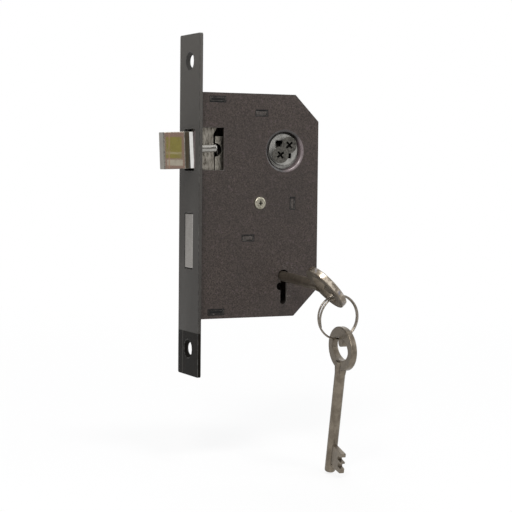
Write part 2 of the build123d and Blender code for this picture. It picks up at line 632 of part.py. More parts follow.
def follower_spring():
    """Leaf from its bracket to the left side of the follower's heel."""
    x, z, length, breadth = BRACKET_TAB
    right = x - length / 2
    left = CENTRE_X - ARM_NOSE - NEAR
    top = PIVOT_HEIGHT - HEEL_REACH
    path = FilletPolyline((right, 0, z), (left - LEAF / 2, 0, z), (left - LEAF / 2, 0, top), radius=2.0)
    section = Plane(origin=(right, 0, z), z_dir=(-1, 0, 0)) * Rectangle(LEAF, LEAF_WIDTH)
    return sweep(section, path)


def key_blank():
    """One key about its pin's axis: tip at the origin, bow along +Z, bit towards +X."""
    bow_z = KEY_LENGTH - BOW / 2
    pin = Cylinder(KEY_PIN / 2, bow_z - BOW_HOLE / 2 - 1.0, align=(Align.CENTER, Align.CENTER, Align.MIN))
    pin = fillet(pin.edges().group_by(Axis.Z)[0], 0.9)
    oval = extrude(Ellipse(BOW_ACROSS / 2, BOW / 2), BOW_THICKNESS / 2, both=True)
    oval = fillet(oval.edges(), BOW_ROUND)
    hole = Ellipse(BOW_HOLE_ACROSS / 2, BOW_HOLE / 2) - Pos(0, BOW_BOSS_RISE) * Circle(BOW_BOSS)
    hole -= Pos(0, BOW_BOSS_RISE + BOW_BOSS) * Rectangle(2 * BOW_BOSS, 2 * BOW_BOSS)
    foot, root = -BOW / 2 - NECK_LENGTH / 2, -BOW / 2 + NECK_LENGTH / 2
    neck = make_face(Polyline((-BOW_NECK / 2, root), (BOW_NECK / 2, root),
                              (KEY_PIN / 2, foot), (-KEY_PIN / 2, foot), close=True))
    bow = oval - extrude(hole, BOW_THICKNESS, both=True) + extrude(neck, BOW_THICKNESS / 2, both=True)
    flat = Plane(origin=(0, 0, bow_z), x_dir=(1, 0, 0), z_dir=(0, -1, 0))
    return pin + flat * bow + key_bit()


def key_bit():
    """Bit with its sloping shoulder and one cut for each lever."""
    start, end = BIT_START, BIT_START + BIT_LENGTH
    outline = Polyline((0, start), (BIT_RADIUS, start), (BIT_RADIUS, end - BIT_SHOULDER),
                       (KEY_PIN / 2 + 1.0, end), (0, end), close=True)
    face = make_face(outline)
    for place, depth in zip(CUT_PLACES, CUT_DEPTHS):
        floor = BIT_RADIUS - depth
        cut = Polyline((floor, start + place - CUT_WIDTH / 2), (floor, start + place + CUT_WIDTH / 2),
                       (BIT_RADIUS + 0.1, start + place + CUT_WIDTH / 2 + 0.35),
                       (BIT_RADIUS + 0.1, start + place - CUT_WIDTH / 2 - 0.35), close=True)
        face -= make_face(cut)
    ward = Pos(KEY_PIN / 2 + 0.9, start) * Rectangle(1.1, 2.4)
    face -= ward
    flat = Plane(origin=(0, 0, 0), x_dir=(1, 0, 0), z_dir=(0, -1, 0)) * face
    return extrude(flat, BIT_THICKNESS / 2, both=True)


def lock_key_plane():
    """Where the key in the lock lies: origin at its tip, Z towards the bow, X along the bit."""
    lean = radians(KEY_LEAN)
    along = Vector(tan(radians(KEY_SWAY)), -1, -tan(radians(KEY_DROOP))).normalized()
    upright = Vector(-sin(lean), 0, cos(lean))
    bit = (upright - along * upright.dot(along)).normalized()
    return Plane(origin=Vector(CENTRE_X, 0, KEY_Z) - along * KEY_TIP, x_dir=bit, z_dir=along)


def ring_centre():
    """The ring hangs on the lower inner edge of the bow in the lock."""
    key = lock_key_plane()
    width = RING_PITCH * RING_TURNS + RING_WIRE
    edge = BOW_HOLE_ACROSS / 2 * sqrt(1 - (width / BOW_HOLE)**2)
    bow = key.origin + key.z_dir * (KEY_LENGTH - BOW / 2)
    rest = bow - key.x_dir * edge - key.y_dir * (BOW_THICKNESS / 2) * sign(key.y_dir.X)
    return rest - Vector(0, 0, RING_RADIUS - RING_WIRE / 2 - NEAR)


def sign(value):
    """1 for a value below nought, else -1."""
    return 1 if value < 0 else -1


def ring_plane():
    """The split ring's centre, with Z along its axis."""
    yaw = radians(RING_YAW)
    return Plane(origin=ring_centre(), x_dir=(cos(yaw), sin(yaw), 0), z_dir=(sin(yaw), -cos(yaw), 0))


def split_ring():
    """Two turns of wire through both bows."""
    gap = coil_gap(RING_RADIUS, RING_PITCH, RING_TURNS, RING_WIRE)
    print(f"split ring: least gap between its turns {gap:.2f} mm")
    return ring_plane() * coil(RING_RADIUS, RING_PITCH, RING_TURNS, RING_WIRE, RING_START)


def spare_plane():
    """Where the spare key hangs: origin at its tip, Z towards its bow, X along its bit."""
    ring = ring_plane()
    start = (270.0 - RING_START) / 360.0
    middle = ring.z_dir * (RING_PITCH * (start - RING_TURNS / 2 + 0.5))
    wire = ring.origin - ring.y_dir * RING_RADIUS + middle
    yaw = radians(SPARE_YAW)
    across = Vector(sin(yaw), -cos(yaw), 0)
    lean = radians(SPARE_LEAN)
    up = Vector(0, 0, 1) * cos(lean) + across * sin(lean)
    bit = across * cos(lean) - Vector(0, 0, 1) * sin(lean)
    outer = SPARE_SIDE + RING_PITCH / 2
    rise = BOW_HOLE / 2 * sqrt(1 - (2 * outer / BOW_HOLE_ACROSS)**2) - RING_WIRE / 2 - SPARE_PLAY
    bow = wire + ring.x_dir * SPARE_SHIFT + bit * SPARE_SIDE - up * rise
    return Plane(origin=bow - up * (KEY_LENGTH - BOW / 2), x_dir=bit, z_dir=up)


def main():
    os.makedirs("parts", exist_ok=True)
    blank = key_blank()
    save(forend(), "forend")
    save(case_tray(), "case_tray")
    save(case_cover(), "case_cover")
    save(cap_post(), "cap_post")
    save(cap_screw(), "cap_screw")
    save(staked_bracket(GUIDE_TAB, INNER), "latch_guide")
    save(staked_bracket(BRACKET_TAB, INNER), "spring_bracket")
    save(staked_bracket(KEEPER_TAB, lever_front(1) - NEAR), "lever_keeper")
    save(lever_pivot(), "lever_pivot")
    save(spring_abutment(), "spring_abutment")
    save(latch_spring(), "latch_spring")
    save(follower_spring(), "follower_spring")
    save(latch_head(), "latch_head")
    save(latch_rod(), "latch_rod")
    save(latch_carriage(), "latch_carriage")
    save(follower(), "follower")
    save(wood_screw(1), "screw_upper")
    save(wood_screw(-1), "screw_lower")
    save(deadbolt_head(), "deadbolt_head")
    save(deadbolt_tail(), "deadbolt_tail")
    save(tail_rivets(), "tail_rivets")
    save(bolt_stump(), "bolt_stump")
    for index, name in enumerate(("back", "front")):
        save(lever(index), f"lever_{name}")
        save(lever_spring(index), f"lever_spring_{name}")
    save(lock_key_plane() * blank, "key_in_lock")
    save(split_ring(), "split_ring")
    save(spare_plane() * blank, "spare_key")


main()
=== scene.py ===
"""Lever mortice sashlock with its two keys, dressed for the photograph.

Lengths are in metres. The lock stands upright as in a door: +X runs into the door, -Y looks
out of the cover, +Z is up.
"""
import bpy
from math import cos, pi, radians, sin, tan
from mathutils import Matrix, Vector


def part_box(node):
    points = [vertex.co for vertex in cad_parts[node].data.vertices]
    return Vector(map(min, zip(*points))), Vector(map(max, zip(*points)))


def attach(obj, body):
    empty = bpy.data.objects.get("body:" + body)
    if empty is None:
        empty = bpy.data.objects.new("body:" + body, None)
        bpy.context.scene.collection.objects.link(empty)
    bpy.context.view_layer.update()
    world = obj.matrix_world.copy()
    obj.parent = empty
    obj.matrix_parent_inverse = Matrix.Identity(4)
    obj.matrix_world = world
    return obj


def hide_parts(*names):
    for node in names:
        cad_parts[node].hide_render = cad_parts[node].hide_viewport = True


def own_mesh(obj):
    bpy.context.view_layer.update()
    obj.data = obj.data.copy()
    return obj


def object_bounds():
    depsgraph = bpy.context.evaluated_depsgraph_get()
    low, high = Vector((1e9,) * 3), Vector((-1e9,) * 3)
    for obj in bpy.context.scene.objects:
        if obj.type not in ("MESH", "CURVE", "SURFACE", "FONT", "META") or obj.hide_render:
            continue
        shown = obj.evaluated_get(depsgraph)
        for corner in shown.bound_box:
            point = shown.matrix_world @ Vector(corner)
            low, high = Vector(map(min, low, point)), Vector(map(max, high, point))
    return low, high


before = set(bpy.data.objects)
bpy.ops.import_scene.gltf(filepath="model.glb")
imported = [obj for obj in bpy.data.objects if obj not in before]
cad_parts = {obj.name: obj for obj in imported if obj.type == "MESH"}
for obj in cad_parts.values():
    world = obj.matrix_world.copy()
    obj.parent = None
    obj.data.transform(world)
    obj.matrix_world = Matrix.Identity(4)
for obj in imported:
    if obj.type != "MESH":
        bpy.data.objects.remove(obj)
cad_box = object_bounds()
bpy.ops.object.select_all(action="DESELECT")

# ---------------------------------------------------------------- camera and daylight
# The lock hangs in front of a plain white wall, in soft light from the upper left. The camera
# stands about level with the latch, 26 degrees round to the forend's side.
EYE = Vector((-0.276294, -0.625961, 0.018466))
YAW, PITCH, ROLL = radians(-26.241), radians(3.419), radians(0.570)
back = Vector((sin(YAW) * cos(PITCH), -cos(YAW) * cos(PITCH), sin(PITCH)))
side = Vector((cos(YAW), sin(YAW), 0))
up = back.cross(side)
side, up = side * cos(ROLL) + up * sin(ROLL), up * cos(ROLL) - side * sin(ROLL)
bpy.ops.object.camera_add(location=EYE)
camera = bpy.context.object
camera.rotation_euler = Matrix((side, up, back)).transposed().to_euler()
camera.data.lens = 106.95
camera.data.sensor_width = 36
bpy.context.scene.camera = camera
bpy.context.scene.view_settings.view_transform = "Standard"

LOCK_MIDDLE = Vector((0.02, -0.01, -0.02))
FLOOR_GAP = 0.0006             # between the spare key's tip and the floor


def lamp(name, place, width, watts, tint=(1, 1, 1)):
    """A square soft box that faces the lock."""
    bpy.ops.object.light_add(type="AREA", location=place)
    light = bpy.context.object
    light.name = name
    light.data.shape = "SQUARE"
    light.data.size = width
    light.data.energy = watts
    light.data.color = tint
    light.rotation_euler = (LOCK_MIDDLE - light.location).to_track_quat("-Z", "Y").to_euler()


lamp("window_light", (-0.75, -1.05, 1.05), 0.42, 11.0, (1.0, 0.985, 0.96))
lamp("ceiling_light", (0.07, -0.74, 1.33), 0.3, 6.0, (1.0, 0.97, 0.95))
lamp("room_light", (1.1, -0.9, 0.5), 0.8, 4.0, (0.96, 0.98, 1.0))
lamp("back_light", (0.3, 1.2, 0.9), 0.8, 6.0)


def add(tree, kind, **settings):
    """A shader node with its settings; names of inputs are given with underscores."""
    made = tree.nodes.new("ShaderNode" + kind)
    sockets = {s.name.replace(" ", "_"): s for s in reversed(made.inputs) if s.enabled}
    for name, value in settings.items():
        if name not in sockets:
            setattr(made, name, value)
        elif isinstance(value, bpy.types.NodeSocket):
            tree.links.new(value, sockets[name])
        else:
            sockets[name].default_value = value
    return made


def empty_tree(owner):
    """The node tree of a new world or material, with nothing in it."""
    owner.use_nodes = True
    owner.node_tree.nodes.clear()
    return owner.node_tree


def seen_rays(tree):
    """1 for rays that show the wall: from the camera, by reflection and through glass."""
    path = add(tree, "LightPath")
    seen = path.outputs["Is Camera Ray"]
    for ray in ("Is Glossy Ray", "Is Transmission Ray"):
        either = add(tree, "Math", operation="MAXIMUM")
        tree.links.new(seen, either.inputs[0])
        tree.links.new(path.outputs[ray], either.inputs[1])
        seen = either.outputs[0]
    return seen


def finish_tree(tree, share, lit, seen, output):
    """Joins what lights the lock and what is seen, mixed by a share, to the tree's output."""
    mix = add(tree, "MixShader")
    for socket, source in zip(mix.inputs, (share, lit.outputs[0], seen.outputs[0])):
        tree.links.new(source, socket)
    tree.links.new(mix.outputs[0], add(tree, output).inputs[0])


world = bpy.data.worlds.new("white_wall")
bpy.context.scene.world = world
tree = empty_tree(world)
room = add(tree, "Background", Color=(0.95, 0.97, 1.0, 1), Strength=0.5)
wall = add(tree, "Background", Color=(1, 1, 1, 1), Strength=1.0)
finish_tree(tree, seen_rays(tree), room, wall, "OutputWorld")

bpy.ops.mesh.primitive_plane_add(size=8, location=(0, 0, cad_box[0].z - FLOOR_GAP))
floor = bpy.context.object
floor.name = "floor"
white = bpy.data.materials.new("white_floor")
tree = empty_tree(white)
card = add(tree, "BsdfDiffuse", Color=(0.9, 0.9, 0.9, 1))
glow = add(tree, "Emission", Color=(1, 1, 1, 1), Strength=1.0)
length = add(tree, "VectorMath", operation="LENGTH")
tree.links.new(add(tree, "TexCoord").outputs["Object"], length.inputs[0])
far = add(tree, "MapRange", Value=length.outputs["Value"], From_Min=0.15, From_Max=0.75,
          To_Min=0.82, To_Max=1.0)
share = add(tree, "Math", operation="MULTIPLY")
tree.links.new(seen_rays(tree), share.inputs[0])
tree.links.new(far.outputs[0], share.inputs[1])
finish_tree(tree, share.outputs[0], card, glow, "OutputMaterial")
floor.data.materials.append(white)


def reflected(name, place, width, height, colour):
    """A plain card out of the picture, seen only in polished metal."""
    bpy.ops.mesh.primitive_plane_add(size=1, location=place)
    made = bpy.context.object
    made.name = name
    made.scale = (width, height, 1)
    made.rotation_euler = (LOCK_MIDDLE - Vector(place)).to_track_quat("Z", "Y").to_euler()
    paint = bpy.data.materials.new(name)
    tree = empty_tree(paint)
    shine = add(tree, "Emission", Color=(*colour, 1), Strength=1.0)
    tree.links.new(shine.outputs[0], add(tree, "OutputMaterial").inputs[0])
    made.data.materials.append(paint)
    made.visible_camera = made.visible_diffuse = made.visible_shadow = False
    made.visible_transmission = made.visible_volume_scatter = False


# what the latch's bevel shows: a garden through a window with a brown frame, beside the camera
reflected("window_frame", (-0.6134, -0.8014, -0.0081), 0.0300, 0.0460, (0.30, 0.21, 0.17))
reflected("garden", (-0.6131, -0.7994, -0.0049), 0.0202, 0.0233, (0.285, 0.25, 0.08))
reflected("garden_path", (-0.6125, -0.7986, -0.0109), 0.0202, 0.0020, (0.42, 0.37, 0.22))
reflected("window_sill", (-0.6114, -0.7998, -0.0214), 0.0202, 0.0067, (0.47, 0.43, 0.35))
reflected("window_bar", (-0.6171, -0.7948, -0.0081), 0.0012, 0.0420, (0.43, 0.27, 0.19))
# what the rest of the bright metal shows: the dark things and the grey wall of the room
reflected("dark_ground", (0.052, 0.045, -0.08), 0.07, 0.05, (0.10, 0.085, 0.07))
reflected("dark_cupboard", (0.68, -1.35, 0.02), 0.46, 1.6, (0.085, 0.072, 0.052))
reflected("dark_door", (1.7, -0.6, 0.0), 0.9, 1.6, (0.06, 0.055, 0.05))
reflected("grey_wall", (-0.75, 1.45, 0.0), 1.1, 1.8, (0.37, 0.355, 0.33))
reflected("dark_shelf", (-0.2, -0.9, -0.75), 1.4, 0.5, (0.10, 0.09, 0.08))

# ---------------------------------------------------------------- forend
# The front plate of the lock, pressed steel 1.6 mm thick, painted dark grey, with two punched
# apertures and two countersunk holes. The paint at its foot has been rubbed bare and dark.
FOOT_TOP = -0.0567             # the bare foot reaches up to here
HOLE_AT = 0.0645               # screw holes, so far above and below the middle
LATCH_AT = 0.025               # middle of the latch's aperture
HIGHLIGHT_AND_SCRATCH_AT = 0.0059               # a painted highlight beside the latch and a scratch on the foot run so far to each side of the middle
SUNK_DARK = (0.1, 0.092, 0.085)


def even_flats(piece, angle=35):
    """Smooth shading over the broken edges only, so that flats stay flat."""
    bpy.ops.object.select_all(action="DESELECT")
    bpy.context.view_layer.objects.active = piece
    piece.select_set(True)
    if piece.data.has_custom_normals:
        bpy.ops.mesh.customdata_custom_splitnormals_clear()
    bpy.ops.object.shade_smooth_by_angle(angle=radians(angle))
    flats = piece.modifiers.new("flats", "WEIGHTED_NORMAL")
    flats.keep_sharp = True
    flats.weight = 100
    bpy.ops.object.modifier_apply(modifier=flats.name)


def dressed(node, name, body, edge, finishes, sharp=40, clamp=False):
    """The node's solid with its sharp edges broken; the last finish goes on the broken edges."""
    piece = bpy.data.objects.new(name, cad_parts[node].data.copy())
    bpy.context.scene.collection.objects.link(piece)
    bpy.ops.object.select_all(action="DESELECT")
    bpy.context.view_layer.objects.active = piece
    piece.select_set(True)
    piece.data.materials.clear()
    for finish in finishes:
        piece.data.materials.append(finish)
    if piece.data.has_custom_normals:
        bpy.ops.mesh.customdata_custom_splitnormals_clear()
    bpy.ops.object.mode_set(mode="EDIT")
    bpy.ops.mesh.select_all(action="SELECT")
    bpy.ops.mesh.remove_doubles(threshold=2e-6)
    bpy.ops.mesh.dissolve_limited(angle_limit=radians(0.6))
    if edge:
        bpy.ops.mesh.select_mode(type="EDGE")
        bpy.ops.mesh.select_all(action="DESELECT")
        bpy.ops.mesh.edges_select_sharp(sharpness=radians(sharp))
        bpy.ops.mesh.bevel(offset=edge, segments=2, clamp_overlap=clamp,
                           loop_slide=True, material=len(finishes) - 1)
    bpy.ops.object.mode_set(mode="OBJECT")
    even_flats(piece)
    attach(piece, body)
    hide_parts(node)
    return piece


def one_more(piece, finish):
    """Gives the piece one more finish, and says its number for the faces that take it."""
    piece.data.materials.append(finish)
    return len(piece.data.materials) - 1


def surface(name, metallic=0.0, level=0.5):
    """A new finish: its material, its tree, its shader and the place on the lock."""
    made = bpy.data.materials.new(name)
    made.use_nodes = True
    tree = made.node_tree
    shader = tree.nodes["Principled BSDF"]
    shader.inputs["Metallic"].default_value = metallic
    shader.inputs["Specular IOR Level"].default_value = level
    place = add(tree, "TexCoord").outputs["Object"]
    return made, tree, shader, place


def grain(tree, place, size, stretch=(1, 1, 1), detail=3.0, rough=0.6):
    """Noise whose spots are about size metres across, drawn out along the axes by stretch."""
    scale = [1 / (size * s) for s in stretch]
    spread = add(tree, "Mapping", Vector=place, Scale=scale)
    return add(tree, "TexNoise", Vector=spread.outputs[0], Scale=1.0, Detail=detail,
               Roughness=rough).outputs[0]


def ramp(tree, value, low, high, start=0.0, end=1.0, soft=True):
    """The value between low and high, carried over to start and end."""
    made = add(tree, "MapRange", Value=value, From_Min=low, From_Max=high, To_Min=start, To_Max=end)
    made.interpolation_type = "SMOOTHSTEP" if soft else "LINEAR"
    return made.outputs[0]


def join(tree, socket, value):
    """Links a value to a socket, or sets it there; a colour is given as it looks on screen."""
    if isinstance(value, bpy.types.NodeSocket):
        tree.links.new(value, socket)
    elif isinstance(value, tuple):
        socket.default_value = (*[v ** 2.2 for v in value], 1)
    else:
        socket.default_value = value


def blend(tree, share, first, second):
    """Two colours mixed by a share from 0 to 1."""
    made = tree.nodes.new("ShaderNodeMix")
    made.data_type = "RGBA"
    for number, value in ((0, share), (6, first), (7, second)):
        join(tree, made.inputs[number], value)
    return made.outputs[2]


def reckon(tree, way, first, second):
    """One sum on two numbers, by the name that Blender gives it."""
    made = add(tree, "Math", operation=way)
    join(tree, made.inputs[0], first)
    join(tree, made.inputs[1], second)
    return made.outputs[0]


def times(tree, first, second):
    """Two numbers multiplied; of two masks, the part that lies in both."""
    return reckon(tree, "MULTIPLY", first, second)


def aside(tree, value, middle):
    """How far the value is from the middle, to either side."""
    return reckon(tree, "ABSOLUTE", reckon(tree, "SUBTRACT", value, middle), 0.0)


def away(tree, place, centre, keep=(1, 1, 1)):
    """Distance from a centre in metres; keep leaves out an axis by its 0."""
    for way, value in (("SUBTRACT", centre), ("MULTIPLY", keep)):
        made = add(tree, "VectorMath", operation=way)
        tree.links.new(place, made.inputs[0])
        made.inputs[1].default_value = value
        place = made.outputs[0]
    length = add(tree, "VectorMath", operation="LENGTH")
    tree.links.new(place, length.inputs[0])
    return length.outputs["Value"]


def bumps(tree, shader, height, depth, strength):
    """Surface relief, depth in metres."""
    made = add(tree, "Bump", Strength=strength, Distance=depth, Height=height)
    tree.links.new(made.outputs[0], shader.inputs["Normal"])


def colour_to(tree, shader, colour, rough):
    """Joins a colour and a roughness to the shader."""
    tree.links.new(colour, shader.inputs["Base Color"])
    tree.links.new(rough, shader.inputs["Roughness"])


def darkened_hole(tree, place, along, colour, hole_at):
    """The colour, darker on the slope of a countersunk hole."""
    hole = away(tree, place, (0, 0, hole_at), (0, 1, 1))
    sink = times(tree, ramp(tree, hole, 0.0045, 0.0042), ramp(tree, along, -0.00162, -0.0014))
    return blend(tree, times(tree, sink, 0.75), colour, SUNK_DARK)


def forend_paint():
    """Dark grey paint with a fine grain, paler towards the top, with a painted highlight along a
    thin line beside the latch.
    """
    made, tree, shader, place = surface("forend_paint", level=0.35)
    xyz = add(tree, "SeparateXYZ", Vector=place)
    fine = grain(tree, place, 0.00045)
    broad = grain(tree, place, 0.02, stretch=(1, 1, 2.5), detail=4)
    colour = blend(tree, ramp(tree, fine, 0.3, 0.7), (0.175, 0.165, 0.155), (0.24, 0.228, 0.215))
    colour = blend(tree, ramp(tree, broad, 0.4, 0.75, 0, 0.35), colour, (0.31, 0.302, 0.29))
    tall = ramp(tree, xyz.outputs["Z"], 0.01, 0.075, 0, 0.75, soft=False)
    colour = blend(tree, tall, colour, (0.33, 0.32, 0.305))
    # painted highlight: a thin pale line on the paint beside the latch's aperture
    beside = ramp(tree, aside(tree, xyz.outputs["Y"], -HIGHLIGHT_AND_SCRATCH_AT), 0.00062, 0.00035)
    level = ramp(tree, aside(tree, xyz.outputs["Z"], LATCH_AT), 0.0088, 0.0078)
    painted_line_highlight = times(tree, beside, level)
    colour = blend(tree, times(tree, painted_line_highlight, 0.8), colour, (0.56, 0.5, 0.5))
    colour = darkened_hole(tree, place, xyz.outputs["X"], colour, HOLE_AT)
    colour_to(tree, shader, colour, ramp(tree, fine, 0.3, 0.7, 0.5, 0.62))
    bumps(tree, shader, fine, 0.00003, 0.5)
    return made


def bare_foot():
    """Dark steel with faint upright streaks, where the paint has gone."""
    made, tree, shader, place = surface("forend_foot", level=0.03)
    xyz = add(tree, "SeparateXYZ", Vector=place)
    streak = grain(tree, place, 0.003, stretch=(0.3, 0.3, 4), detail=5)
    colour = blend(tree, ramp(tree, streak, 0.35, 0.7), (0.085, 0.078, 0.07), (0.15, 0.14, 0.128))
    scratch = ramp(tree, aside(tree, xyz.outputs["Y"], HIGHLIGHT_AND_SCRATCH_AT), 0.0005, 0.0, 0, 0.5)
    colour = blend(tree, scratch, colour, (0.36, 0.35, 0.33))
    colour = darkened_hole(tree, place, xyz.outputs["X"], colour, -HOLE_AT)
    colour_to(tree, shader, colour, ramp(tree, streak, 0.3, 0.7, 0.32, 0.45))
    return made


def worn_edge(name, low, high):
    """Paint rubbed thin along an edge, with the steel just showing."""
    made, tree, shader, place = surface(name, metallic=0.35, level=0.5)
    patches = grain(tree, place, 0.0022, detail=5)
    colour_to(tree, shader, blend(tree, ramp(tree, patches, 0.4, 0.65), low, high),
              ramp(tree, patches, 0.4, 0.65, 0.5, 0.36))
    return made


forend_edge = worn_edge("forend_worn_edge", (0.17, 0.165, 0.158), (0.31, 0.303, 0.292))
forend = dressed("forend", "forend_plate", "case", 0.00018, (forend_paint(), forend_edge))
foot = one_more(forend, bare_foot())
bpy.ops.object.mode_set(mode="EDIT")
bpy.ops.mesh.select_all(action="SELECT")
bpy.ops.mesh.bisect(plane_co=(0, 0, FOOT_TOP), plane_no=(0, 0, 1), threshold=1e-7)
bpy.ops.object.mode_set(mode="OBJECT")
for face in forend.data.polygons:
    if face.center.z < FOOT_TOP and face.material_index == 0:
        face.material_index = foot
even_flats(forend)

# ---------------------------------------------------------------- case
# A pressed steel tray and a cover plate, painted together in a warm dark brown with a fine
# speckle. The cover is dished inwards round the follower as its bearing; the keyhole is punched.
BEARING_AT = (0.0429, 0.0, 0.025)
KEYHOLE_AT = (0.0429, 0.0, -0.0345)
SCREW_AT = (0.0303, 0.0, 0.0013)
ACROSS = (1, 0, 1)             # distances over the plate leave out its thickness
LIP = 0.0079, 0.0098           # the rounded lip of the bearing, inner and outer radius
# staked tabs in the cover: middle along X, middle along Z, length, breadth
TABS = ((0.009, 0.0477, 0.0069, 0.0016), (0.0089, -0.0477, 0.0069, 0.0016),
        (0.031, 0.042, 0.0051, 0.0018), (0.0471, 0.0011, 0.0016, 0.0046),
        (0.0246, -0.0145, 0.0051, 0.0018))


def slot_shade_mask(tree, place, x, z, length, breadth):
    """1 over a tab's slot and just round it, for painted shade in the gap round the tab."""
    xyz = add(tree, "SeparateXYZ", Vector=place)
    past_x = reckon(tree, "SUBTRACT", aside(tree, xyz.outputs["X"], x), length / 2)
    past_z = reckon(tree, "SUBTRACT", aside(tree, xyz.outputs["Z"], z), breadth / 2)
    return ramp(tree, reckon(tree, "MAXIMUM", past_x, past_z), 0.00078, 0.00056)


def case_paint():
    """Brown paint with a speckle, rubbed at the bearing and scraped at the keyhole; painted shade
    inside the bearing and round the tabs, and a painted highlight round the cover screw.
    """
    made, tree, shader, place = surface("case_paint", level=0.3)
    fine = grain(tree, place, 0.0005, detail=4, rough=0.75)
    spots = grain(tree, place, 0.0011, detail=2)
    broad = grain(tree, place, 0.03, detail=4)
    colour = blend(tree, ramp(tree, fine, 0.32, 0.68), (0.15, 0.128, 0.115), (0.285, 0.252, 0.235))
    colour = blend(tree, ramp(tree, spots, 0.55, 0.75, 0, 0.45), colour, (0.34, 0.29, 0.3))
    colour = blend(tree, ramp(tree, broad, 0.35, 0.7, 0, 0.3), colour, (0.17, 0.156, 0.15))
    bearing = away(tree, place, BEARING_AT, ACROSS)
    lip = times(tree, ramp(tree, bearing, 0.0101, 0.0094), ramp(tree, bearing, 0.0078, 0.0084))
    patches = ramp(tree, grain(tree, place, 0.004, detail=4), 0.3, 0.6, 0.4, 1.0)
    rubbed = times(tree, lip, patches)
    colour = blend(tree, times(tree, rubbed, 0.3), colour, (0.4, 0.37, 0.37))
    # painted shade inside the bearing, on its wall between the follower and the lip
    bore_shade = ramp(tree, bearing, 0.0084, 0.008)
    colour = blend(tree, times(tree, bore_shade, 0.7), colour, (0.09, 0.08, 0.074))
    key = away(tree, place, KEYHOLE_AT, (1, 0, 0.62))
    scratches = grain(tree, place, 0.0012, stretch=(1.6, 1, 0.7), detail=5)
    scraped = times(tree, ramp(tree, key, 0.0075, 0.0035), ramp(tree, scratches, 0.56, 0.68))
    colour = blend(tree, times(tree, scraped, 0.7), colour, (0.5, 0.48, 0.46))
    # painted highlight: a paler ring on the paint round the cover screw
    screw = away(tree, place, SCREW_AT, ACROSS)
    screw_highlight = times(tree, ramp(tree, screw, 0.0042, 0.0028), 0.35)
    colour = blend(tree, screw_highlight, colour, (0.38, 0.35, 0.33))
    # painted shade: near black lines in the gaps round the staked tabs' slots
    for tab in TABS:
        colour = blend(tree, slot_shade_mask(tree, place, *tab), colour, (0.03, 0.026, 0.024))
    dull = ramp(tree, fine, 0.3, 0.7, 0.5, 0.66)
    colour_to(tree, shader, colour, reckon(tree, "ADD", dull, times(tree, rubbed, -0.3)))
    bumps(tree, shader, fine, 0.00005, 0.6)
    return made


def lip_paint():
    """Smoother paint on the bearing's lip, darker all round as painted shade, with a painted
    highlight at its lower right.
    """
    made, tree, shader, place = surface("lip_paint", metallic=0.25, level=1.0)
    fine = grain(tree, place, 0.0007, detail=4)
    # darker than the case paint all round: painted shade on the lip
    colour = blend(tree, ramp(tree, fine, 0.35, 0.7), (0.13, 0.115, 0.11), (0.2, 0.18, 0.175))
    xyz = add(tree, "SeparateXYZ", Vector=place)
    # painted highlight at the lip's lower right
    right = times(tree, reckon(tree, "SUBTRACT", xyz.outputs["X"], BEARING_AT[0]), 0.9)
    low = times(tree, reckon(tree, "SUBTRACT", xyz.outputs["Z"], BEARING_AT[2]), -0.45)
    lip_highlight = ramp(tree, reckon(tree, "ADD", right, low), 0.002, 0.0065)
    colour = blend(tree, lip_highlight, colour, (0.4, 0.355, 0.36))
    colour_to(tree, shader, colour, ramp(tree, fine, 0.3, 0.7, 0.24, 0.38))
    bumps(tree, shader, fine, 0.00004, 0.5)
    return made


paint = case_paint()
case_edge = worn_edge("case_worn_edge", (0.2, 0.185, 0.175), (0.4, 0.385, 0.37))
tray = dressed("case_tray", "case_body", "case", 0.0002, (paint, case_edge))
lid = dressed("case_cover", "case_lid", "case", 0.00014, (paint, case_edge))
smooth = one_more(lid, lip_paint())
for face in lid.data.polygons:
    out = face.center - Vector((BEARING_AT[0], face.center.y, BEARING_AT[2]))
    slopes = abs(face.normal.y) < 0.985 and face.normal.dot(out) < 0
    if LIP[0] < out.length < LIP[1] and slopes:
        face.material_index = smooth

# ---------------------------------------------------------------- staked brackets
# Strips of steel inside the case that guide the latch, hold the follower's spring and keep the
# levers. Their ends go through slots in the cover and are staked over, then painted with it.


def tab_paint():
    """The case's paint, knocked about where the strip's end was staked over."""
    made, tree, shader, place = surface("tab_paint", level=0.35)
    fine = grain(tree, place, 0.0006, detail=4)
    colour = blend(tree, ramp(tree, fine, 0.35, 0.7), (0.2, 0.183, 0.172), (0.31, 0.285, 0.27))
    colour_to(tree, shader, colour, ramp(tree, fine, 0.3, 0.7, 0.42, 0.55))
    bumps(tree, shader, fine, 0.00008, 0.7)
    return made


tab_finish = tab_paint()
for node in ("latch_guide", "spring_bracket", "lever_keeper"):
    piece = dressed(node, node + "_strip", "case", 0.00018, (tab_finish, case_edge))

# ---------------------------------------------------------------- steel inside the case
# Posts riveted to the back plate, the abutment of the latch spring, the stump and the pins of
# the deadbolt: bright mild steel, turned or cropped, slightly dulled by oil.


def bare_steel(name, low, high, size=0.0007, stretch=(1, 1, 1), gloss=(0.28, 0.44)):
    """Unpainted steel: fine lines of size metres between two greys, with a dull cloud over."""
    made, tree, shader, place = surface(name, metallic=1.0)
    lines = grain(tree, place, size, stretch, detail=5)
    cloud = grain(tree, place, 0.006, detail=4)
    colour = blend(tree, ramp(tree, lines, 0.3, 0.7), low, high)
    dulled = tuple(0.62 * v for v in low)
    colour = blend(tree, ramp(tree, cloud, 0.45, 0.75, 0, 0.4), colour, dulled)
    colour_to(tree, shader, colour, ramp(tree, lines, 0.3, 0.7, *gloss))
    bumps(tree, shader, lines, 0.00002, 0.5)
    return made


